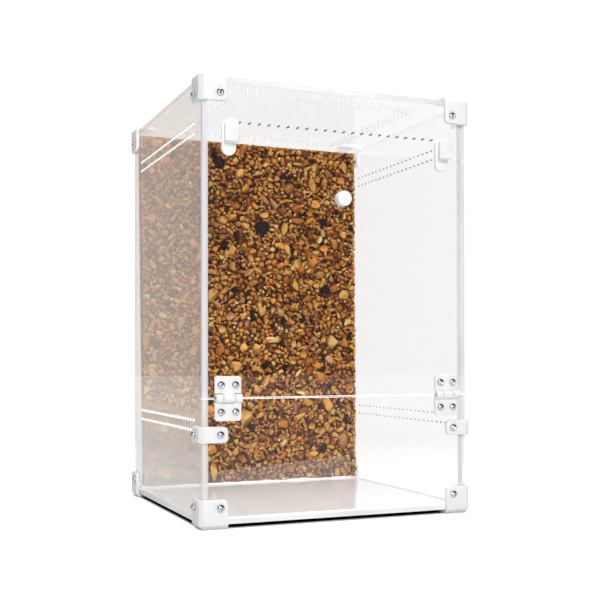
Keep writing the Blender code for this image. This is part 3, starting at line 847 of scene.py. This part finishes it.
def hinge_leaf(flank, side, up, body, plastic):
    """One leaf with its knuckles: up is 1 on the door and -1 on the fixed panel."""
    middle = side * HINGE_MIDDLE
    half, knuckle = 0.00915, 0.0039
    back = CASE_FRONT - FIT_GAP
    front = back - LEAF_THICKNESS
    near = HINGE_AXIS.z + up * 0.0034
    far = HINGE_AXIS.z + up * 0.0150
    low = (middle - half, front, min(near, far))
    high = (middle + half, back, max(near, far))
    label = "door" if up > 0 else "fixed"
    leaf = plate(f"{label}_hinge_leaf_{flank}", low, high, {(-1, up): 0.0022, (1, up): 0.0022}, 0.0004)
    spans = [(middle - knuckle, middle + knuckle)]
    if up < 0:
        inner = knuckle + KNUCKLE_PLAY
        spans = [(middle - half, middle - inner), (middle + inner, middle + half)]
    for start, end in spans:
        web_low = (start, front, min(HINGE_AXIS.z, near + up * 0.0006))
        web_high = (end, back, max(HINGE_AXIS.z, near + up * 0.0006))
        combine(leaf, block("web", web_low, web_high), "UNION")
        centre = HINGE_AXIS + X_AXIS * (start + end) / 2
        combine(leaf, rod("knuckle", centre, X_AXIS, KNUCKLE_RADIUS, end - start, 32), "UNION")
    combine(leaf, rod("bore", HINGE_AXIS + X_AXIS * middle, X_AXIS, 0.0013, 0.024, 16))
    for place in leaf_screws(side, up):
        combine(leaf, rod("drill", place, Y_AXIS, SCREW_HOLE_RADIUS, DRILL_LENGTH, 16))
    tidied(leaf)
    dress(leaf, body, [f"hinge_{label}_leaf_{flank}"], "white_plastic", plastic)


def hinges(plastic, steel, screw):
    pin = turned("pin", [(0, 0.0006), (0.0016, 0.0006), (0.0019, 0.0003), (0.0019, 0), (0.0010, 0),
                         (0.0010, -0.0184), (0.0008, -0.0186), (0, -0.0186)], 24)
    for flank, side in SIDES:
        hinge_leaf(flank, side, -1, "case", plastic)
        hinge_leaf(flank, side, 1, "door", plastic)
        end = HINGE_AXIS + X_AXIS * side * (HINGE_MIDDLE + 0.00945)
        piece = copy_of(pin, f"hinge_axle_{flank}", facing(end, X_AXIS * side))
        dress(piece, "case", [f"hinge_pin_{flank}"], "screw_steel", steel)
        for label, up, body in (("fixed", -1, "case"), ("door", 1, "door")):
            for index, place in enumerate(leaf_screws(side, up), 1):
                seat = place - Y_AXIS * (FIT_GAP + LEAF_THICKNESS)
                put_screw(screw, f"hinge_{label}_{flank}_{index}", seat, -Y_AXIS, body)
    bpy.data.objects.remove(pin, do_unlink=True)


def door_knob(plastic):
    profile = [(0, 0.0084)] + rounding((0.0042, 0.0073), 0.0011, 90, 0, 6)
    profile += [(0.00525, 0.0024), (0.00505, 0.0014), (0.0046, 0.0002), (0.0044, 0), (0, 0)]
    model = turned("knob", profile, 48)
    seat = Vector((0, CASE_FRONT - FIT_GAP, KNOB_Z))
    combine(model, rod("bore", Vector((0, 0, 0.0016)), Z_AXIS, SCREW_HOLE_RADIUS, 0.0072, 16))
    piece = copy_of(model, "turned_door_knob", facing(seat, -Y_AXIS))
    bpy.data.objects.remove(model, do_unlink=True)
    dress(tidied(piece), "door", ["door_knob"], "white_plastic", plastic)


def catches(plastic):
    """The outer plates, round above, and the inner ones, round above and below."""
    for flank, _ in SIDES:
        for name, node, ends in (("outer", "catch_plate", (1,)), ("inner", "door_stop", (-1, 1))):
            low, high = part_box(f"{node}_{flank}")
            half = (high.x - low.x) / 2 - 0.00005
            corners = {(x, z): half for x in (-1, 1) for z in ends}
            piece = plate(f"catch_{name}_{flank}", low, high, corners, 0.0005, 12)
            dress(tidied(piece), "case", [f"{node}_{flank}"], "white_plastic", plastic)


# Screws

def facing(seat, outward, twist=0.0):
    """The placing that stands a turned piece on a seat with its top outwards."""
    turn = Z_AXIS.rotation_difference(outward).to_matrix().to_4x4()
    return Matrix.Translation(seat) @ turn @ Matrix.Rotation(twist, 4, "Z")


def button_screw(length):
    """A button-head screw with a hex socket and a thread, its head on the XY plane."""
    profile = [(0, 0.0015)] + rounding((0.0, -0.0023), 0.00385, 78, 50, 5)
    profile += [(0.0026, 0.00025), (0.0026, 0), (0.0015, 0)]
    depth = -0.0005
    while depth > 0.0004 - length:
        profile += [(0.0015, depth), (0.00122, depth - 0.00022), (0.0015, depth - 0.00044)]
        depth -= 0.0005
    profile += [(0.0011, -length), (0, -length)]
    obj = turned("button_screw", profile, 24)
    combine(obj, rod("socket", Vector((0, 0, 0.0016)), Z_AXIS, 0.00128, 0.0020, 6))
    return tidied(obj, 30)


def put_screw(screw, label, seat, outward, body):
    model, steel, dice = screw
    place = facing(seat + outward * FIT_GAP, outward, dice.uniform(0, math.pi))
    piece = copy_of(model, f"button_screw_{label}", place)
    dress(piece, body, [f"screw_{label}"], "screw_steel", steel)


def fasten(screw, label, side, end, z):
    for kind, (seat, outward) in zip(("face", "flank"), bracket_screws(side, end, z)):
        put_screw(screw, f"{label}_{kind}", seat, outward, "case")


# Cork background

CORK_BACK = 0.09795
CORK_LOW = Vector((-0.0959, 0, 0.0070))
CORK_HIGH = Vector((0.0959, 0, 0.2986))
CORK_SKEW = 0.0035
CORK_PARTS = 3
DEEP_PITCH = 0.0031
RIM_PITCH = 0.0024
# Painted light: chip faces turned this way, up, left and to the front, are lighter, and those turned away
# darker.
PAINTED_LIGHT_FROM = np.array((-0.35, -0.62, 0.70))

# The chunks that stand out most: tone, place, and half sizes across and up
CHUNKS = (
    ("tan", 0.0332, 0.2631, 0.0071, 0.0052), ("tan", 0.0586, 0.2826, 0.0054, 0.0062),
    ("tan", 0.0406, 0.2847, 0.0054, 0.0023), ("pale", 0.0042, 0.2739, 0.0066, 0.0025),
    ("black", 0.0071, 0.2267, 0.0066, 0.0083), ("black", 0.0279, 0.2716, 0.0042, 0.0037),
    ("black", -0.0310, 0.2812, 0.0050, 0.0066), ("dark", 0.0490, 0.2949, 0.0046, 0.0042),
    ("ochre", 0.0310, 0.2512, 0.0066, 0.0023), ("orange", 0.0404, 0.2459, 0.0050, 0.0046),
    ("tan", 0.0666, 0.2698, 0.0027, 0.0054), ("dark", -0.0121, 0.2171, 0.0027, 0.0091),
    ("brown", 0.0266, 0.2433, 0.0054, 0.0042), ("ochre", 0.0237, 0.2119, 0.0054, 0.0037),
    ("tan", -0.0191, 0.1920, 0.0054, 0.0050), ("pale", 0.0649, 0.2247, 0.0027, 0.0050),
    ("tan", 0.0381, 0.1772, 0.0042, 0.0050), ("tan", -0.0371, 0.1687, 0.0050, 0.0083),
    ("black", 0.0668, 0.1748, 0.0050, 0.0033), ("black", -0.0163, 0.1731, 0.0033, 0.0033),
    ("tan", 0.0842, 0.1705, 0.0058, 0.0042), ("black", 0.0666, 0.2346, 0.0042, 0.0033),
    ("pale", 0.0739, 0.1279, 0.0062, 0.0079), ("tan", -0.0174, 0.1075, 0.0060, 0.0060),
    ("pale", 0.0182, 0.1084, 0.0035, 0.0035), ("tan", 0.0689, 0.0726, 0.0060, 0.0070),
    ("tan", -0.0082, 0.0624, 0.0075, 0.0079), ("ochre", 0.0255, 0.0568, 0.0070, 0.0051),
    ("pink", 0.0829, 0.0385, 0.0051, 0.0083), ("pale", 0.0894, 0.0242, 0.0042, 0.0042),
    ("brown", -0.0103, 0.0283, 0.0051, 0.0051), ("black", -0.0011, 0.1483, 0.0037, 0.0027),
    ("black", 0.0272, 0.1445, 0.0023, 0.0060), ("black", 0.0643, 0.0350, 0.0046, 0.0046),
    ("pale", 0.0945, 0.2902, 0.0026, 0.0040), ("brown", 0.0255, 0.0898, 0.0070, 0.0019),
    ("pale", -0.0760, 0.0190, 0.0090, 0.0060),
)


class Board:
    """The front of the board's solid, which the chips lie on."""

    def __init__(self, node):
        mesh = node.data
        self.tree = BVHTree.FromPolygons(
            [vertex.co for vertex in mesh.vertices], [face.vertices[:] for face in mesh.polygons])

    def left(self, z):
        return CORK_LOW.x + CORK_SKEW * (CORK_HIGH.z - z) / (CORK_HIGH.z - CORK_LOW.z)

    def front(self, x, z):
        """The front's Y there, and which way it faces."""
        x = min(max(x, self.left(z) + 0.0006), CORK_HIGH.x - 0.0006)
        z = min(max(z, CORK_LOW.z + 0.0006), CORK_HIGH.z - 0.0006)
        place, normal, _, _ = self.tree.ray_cast(Vector((x, 0, z)), Y_AXIS)
        return place.y, normal

    def dip(self, x, z):
        """0 on the chunks' tops and 1 in the deepest pits."""
        up = (z - CORK_LOW.z) / (CORK_HIGH.z - CORK_LOW.z)
        across = (x - CORK_LOW.x) / (CORK_HIGH.x - CORK_LOW.x)
        floor = CORK_BACK - 0.0094 - 0.0012 * (1 - up) - 0.0016 * (1 - across)
        return 1 - (floor - self.front(x, z)[0]) / 0.0024


def chip_shapes(dice, count):
    """Broken chips about 1 across, each with a few large flat faces."""
    shapes = []
    for index in range(count):
        finer = 2 if index % 3 == 0 else 1
        obj = added("chip", bpy.ops.mesh.primitive_ico_sphere_add, subdivisions=finer, radius=0.62)
        bpy.ops.object.mode_set(mode="EDIT")
        for _ in range(6):
            bpy.ops.mesh.select_all(action="SELECT")
            normal = Vector([dice.gauss(0, 1) for _ in range(3)]).normalized()
            bpy.ops.mesh.bisect(
                plane_co=normal * dice.uniform(0.26, 0.46), plane_no=normal, use_fill=True, clear_outer=True)
        bpy.ops.mesh.select_all(action="SELECT")
        bpy.ops.mesh.dissolve_limited(angle_limit=math.radians(14))
        bpy.ops.mesh.quads_convert_to_tris()
        bpy.ops.mesh.normals_make_consistent(inside=False)
        bpy.ops.object.mode_set(mode="OBJECT")
        points = np.array([v.co for v in obj.data.vertices])
        faces = np.array([list(f.vertices) for f in obj.data.polygons])
        shapes.append((points, faces))
        bpy.data.objects.remove(obj, do_unlink=True)
    return shapes


def chip_places(dice, board):
    """(x, z, half width) of the chips, the largest first, none too deep in another."""
    placed = np.array([(x, z, (across + up) / 2) for _, x, z, across, up in CHUNKS])
    fixed = len(placed)
    for tries, small, large, apart in (
            (500, 0.0034, 0.0048, 0.94), (3600, 0.0024, 0.0034, 0.90), (9000, 0.0017, 0.0023, 0.84),
            (20000, 0.0010, 0.0015, 0.82)):
        for _ in range(tries):
            half = dice.uniform(small, large)
            z = dice.uniform(CORK_LOW.z + 0.001, CORK_HIGH.z - 0.001)
            x = dice.uniform(board.left(z) + 0.001, CORK_HIGH.x - 0.001)
            if half > 0.003 and board.dip(x, z) > 0.5:
                continue
            near = np.hypot(placed[:, 0] - x, placed[:, 1] - z) < apart * (placed[:, 2] + half)
            if not near.any():
                placed = np.vstack([placed, (x, z, half)])
    return placed[fixed:]


def chip_colour_and_shade(dice, darkness):
    roll = dice.random() * (1 - darkness) + darkness
    for weight, colour in CORK_SHADES.values():
        roll -= weight
        if roll < 0:
            break
    return np.array(colour[:3]) * dice.uniform(0.87, 1.10)


def turned_chip(dice, shape, half_across, half_up, depth):
    """A shape turned at random, pressed to these half sizes and with its front worn flat."""
    turn = Matrix.Rotation(dice.uniform(0, math.tau), 3, Vector([dice.gauss(0, 1) for _ in range(3)]))
    own = shape @ np.array(turn).T
    own *= np.array((half_across, depth, half_up)) / np.abs(own).max(0)
    own[:, 1] = np.maximum(own[:, 1], -depth * dice.uniform(0.55, 0.95))
    return own


def chip_layers(dice, board):
    """(x, z, half width, half height, sunk by, tone) of every chip."""
    layer = [(x, z, across, up, 0.0, tone) for tone, x, z, across, up in CHUNKS]
    for x, z, half in chip_places(dice, board):
        longer = dice.uniform(1.25, 1.9) if dice.random() < 0.3 else dice.uniform(1.0, 1.2)
        layer.append((x, z, half * longer * 1.08, half * 1.12 / longer ** 0.6, 0.0, None))
    for x in np.arange(CORK_LOW.x + 0.0015, CORK_HIGH.x, DEEP_PITCH):
        for z in np.arange(CORK_LOW.z + 0.0015, CORK_HIGH.z, DEEP_PITCH):
            layer.append((x + dice.uniform(-1, 1) * 0.0012, z + dice.uniform(-1, 1) * 0.0012,
                          0.0021, 0.0021, 0.0019, None))
    for z in np.arange(CORK_LOW.z + 0.002, CORK_HIGH.z, RIM_PITCH):
        for x, sunk in ((board.left(z) + 0.0012, 0.0004), (CORK_HIGH.x - 0.0010, -0.0008)):
            layer.append((x, z + dice.uniform(-1, 1) * 0.0008, 0.0015, 0.0018, sunk, None))
    for x in np.arange(CORK_LOW.x + 0.003, CORK_HIGH.x, RIM_PITCH):
        layer.append((x, CORK_HIGH.z - 0.0012, 0.0018, 0.0014, 0.0004, None))
    return [chip for chip in layer if chip[0] >= board.left(chip[1])]


def laid_chip(dice, shape, board, x, z, half_across, half_up, sunk, chosen):
    """A chip's points, laid on the board's front and kept within its outline."""
    depth = min((half_across + half_up) / 2, 0.0032)
    own = turned_chip(dice, shape, half_across, half_up, depth)
    spin = dice.gauss(0, 0.2) if chosen else dice.uniform(0, math.pi)
    surface, normal = board.front(x, z)
    lean = (-Y_AXIS).rotation_difference((normal - 1.2 * Y_AXIS).normalized()).to_matrix()
    tilt = Matrix.Rotation(dice.gauss(0, 0.16), 3, "X") @ Matrix.Rotation(dice.gauss(0, 0.16), 3, "Z")
    own = own @ np.array(lean @ tilt @ Matrix.Rotation(spin, 3, "Y")).T
    own += (x, surface + sunk + depth * 0.66 + dice.gauss(0, 0.0004), z)
    ragged = 0.0010 * noise.noise(Vector((0, 1, z)) / 0.006)
    own[:, 0] = np.clip(own[:, 0], board.left(z), CORK_HIGH.x - 0.0003 + ragged)
    foot = CORK_LOW.z + 0.0015 + 0.0009 * noise.noise(Vector((x, 2, 0)) / 0.006)
    own[:, 2] = np.clip(own[:, 2], foot, CORK_HIGH.z)
    own[:, 1] = np.minimum(own[:, 1], CORK_BACK - 0.002)
    return own


def chip_shade_and_tones(dice, own, triangles, surface, dip):
    """How light a chip's face corners are: painted shade in cracks, pits and faces turned away, painted light
    on faces turned up.
    """
    # Painted shade: corners lying deeper behind the board's front are darker.
    cavity_shade = np.clip((own[:, 1] - surface - 0.0001) / 0.0021, 0, 1)
    shade_and_tones = (1 - 0.96 * cavity_shade ** 0.8)[triangles.ravel()].reshape(-1, 3)
    corner, second, third = (own[triangles[:, end]] for end in range(3))
    normals = np.cross(second - corner, third - corner)
    normals /= np.linalg.norm(normals, axis=1)[:, None] + 1e-12
    # Painted light and shade by which way each face turns.
    painted_light = 0.42 + 0.9 * np.clip(normals @ PAINTED_LIGHT_FROM, 0, 1)
    shade_and_tones *= (painted_light * np.array([dice.uniform(0.82, 1.12) for _ in triangles]))[:, None]
    # Painted shade: darker again in the board's pits.
    shade_and_tones = np.maximum(shade_and_tones * (1 - 0.35 * min(1.0, max(0.0, dip))), 0.01)
    return shade_and_tones.reshape(-1, 1) ** np.array((0.8, 1.05, 1.35))


def chips(dice, board):
    """Each chip as points, faces and colours with painted shade and light: a packed front layer over a rough
    deeper one.
    """
    shapes = chip_shapes(dice, 15)
    laid = []
    for x, z, half_across, half_up, sunk, tone in chip_layers(dice, board):
        shape, triangles = dice.choice(shapes)
        own = laid_chip(dice, shape, board, x, z, half_across, half_up, sunk, tone is not None)
        dip = board.dip(x, z)
        if tone is None:
            # Darker tones where the noise gathers dark chips, and painted shade: darker tones in the pits.
            dark = max(0.0, noise.noise(Vector((x, 0, z)) / 0.02) - 0.15) + 0.35 * max(0.0, dip - 0.55)
            colour = chip_colour_and_shade(dice, min(0.85, dark))
        else:
            colour = np.array(CORK_SHADES[tone][1][:3]) * dice.uniform(0.95, 1.05)
        shade_and_tones = chip_shade_and_tones(dice, own, triangles, board.front(x, z)[0], dip)
        laid.append((own, triangles, shade_and_tones * colour))
    return laid


def cork_piece(name, chosen):
    """One mesh of many chips, with their colours kept for each corner."""
    starts = np.cumsum([0] + [len(points) for points, _, _ in chosen])
    points = np.vstack([points for points, _, _ in chosen])
    faces = np.vstack([faces + start for (_, faces, _), start in zip(chosen, starts)])
    colours = np.vstack([colours for _, _, colours in chosen])
    mesh = bpy.data.meshes.new(name)
    mesh.from_pydata(points.tolist(), [], faces.tolist())
    tint = mesh.attributes.new("chip_colour_and_shade", "FLOAT_COLOR", "CORNER")
    tint.data.foreach_set("color", np.column_stack([colours, np.ones(len(colours))]).ravel())
    mesh.update()
    return linked(name, mesh)


def cork_background():
    torn = cork_chips()
    laid = chips(random.Random(7), Board(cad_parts["cork_background"]))
    laid.sort(key=lambda chip: chip[0][:, 2].mean())
    for part in range(CORK_PARTS):
        chosen = laid[part * len(laid) // CORK_PARTS:(part + 1) * len(laid) // CORK_PARTS]
        piece = cork_piece(f"cork_chips_{part + 1}", chosen)
        dress(piece, "case", ["cork_background"], "cork", torn)
    low = (CORK_LOW.x + 0.0004, CORK_BACK - 0.0068, CORK_LOW.z + 0.0003)
    high = (CORK_HIGH.x - 0.0014, CORK_BACK, CORK_HIGH.z - 0.0014)
    board = block("cork_board", low, high)
    for vertex in board.data.vertices:
        if vertex.co.x < 0:
            vertex.co.x += CORK_SKEW * (CORK_HIGH.z - vertex.co.z) / (CORK_HIGH.z - CORK_LOW.z)
    use(board, "BEVEL", width=0.0006, segments=2, limit_method="ANGLE")
    dress(board, "case", ["cork_background"], "cork", sawn_cork())


# Stage

def white_floor():
    floor = added("floor", bpy.ops.mesh.primitive_plane_add, size=12)
    bench = finish("white_floor")
    seen = bench.sight("Camera", "Glossy", "Transmission")
    x, y, _ = bench.axes()
    # Painted shadow: seen directly, in a mirror or through a pane, the floor is near black under the case's
    # footprint.
    across = x.maths("ABSOLUTE", x).rises(CASE_HALF - 0.003, CASE_HALF)
    along = x.maths("ABSOLUTE", y - CASE_MIDDLE.y).rises(CASE_HALF - 0.0065, CASE_HALF - 0.004)
    bright = bench.mix(bench.sight("Camera"), grey(1.02), grey(1.5))
    floor_and_painted_shadow = bench.mix(across.or_more(along), grey(0.03), bright)
    colour = bench.mix(seen, grey(0.62), floor_and_painted_shadow)
    near = bench.node("ShaderNodeBsdfDiffuse", {}, {"Color": colour})
    far = bench.node("ShaderNodeEmission", {}, {"Color": grey(1.0)})
    distance = bench.node("ShaderNodeVectorMath", {"operation": "LENGTH"}, {0: bench.place()}, "Value")
    bench.show(bench.either(distance.rises(0.45, 0.9) * seen, near, far))
    floor.data.materials.append(bench.owner)


def studio():
    """White all round for what is seen straight or through a pane, and a dimmer room to light by."""
    world = bpy.data.worlds.new("studio")
    bpy.context.scene.world = world
    bench = Bench(world)
    seen = bench.sight("Camera", "Transmission")
    direction = bench.node("ShaderNodeTexCoord", output="Generated")
    x, y = (bench.node("ShaderNodeSeparateXYZ", {}, {"Vector": direction}, axis) for axis in "XY")
    behind = bench.mix(x.rises(-0.6, 0.1), grey(0.40), grey(0.92))
    mirrored_room = bench.mix(y.rises(-0.5, 0.3), grey(0.06), behind)
    lit_room = bench.mix(y.rises(0.0, 0.9), bench.mix(x.rises(-0.9, 0.2), grey(0.22), grey(0.40)), grey(0.55))
    room = bench.mix(bench.sight("Glossy"), lit_room, mirrored_room)
    bench.feed(bench.tree.nodes["Background"], {"Color": bench.mix(seen, room, grey(1.0))})
    softbox("softbox_front", (-0.5, -1.8, 0.75), (0, 0, 0.15), 0.5, 21)
    softbox("softbox_above", (0.1, 0.1, 1.7), (0, 0, 0.15), 1.0, 18)
    bpy.context.scene.view_settings.view_transform = "Standard"


photo_camera()
white_floor()
studio()
sheets()
plastic = white_plastic()
steel = brushed_steel()
dice = random.Random(3)
screws = [(button_screw(length), steel, dice) for length in (0.0060, 0.0055, 0.0080)]
bracket_screw, hinge_screw, knob_screw = screws
brackets(plastic, bracket_screw)
hinges(plastic, steel, hinge_screw)
door_knob(plastic)
put_screw(knob_screw, "knob", Vector((0, CASE_FRONT + SHEET_THICKNESS, KNOB_Z)), Y_AXIS, "door")
catches(plastic)
cork_background()
for model, _, _ in screws:
    bpy.data.objects.remove(model, do_unlink=True)
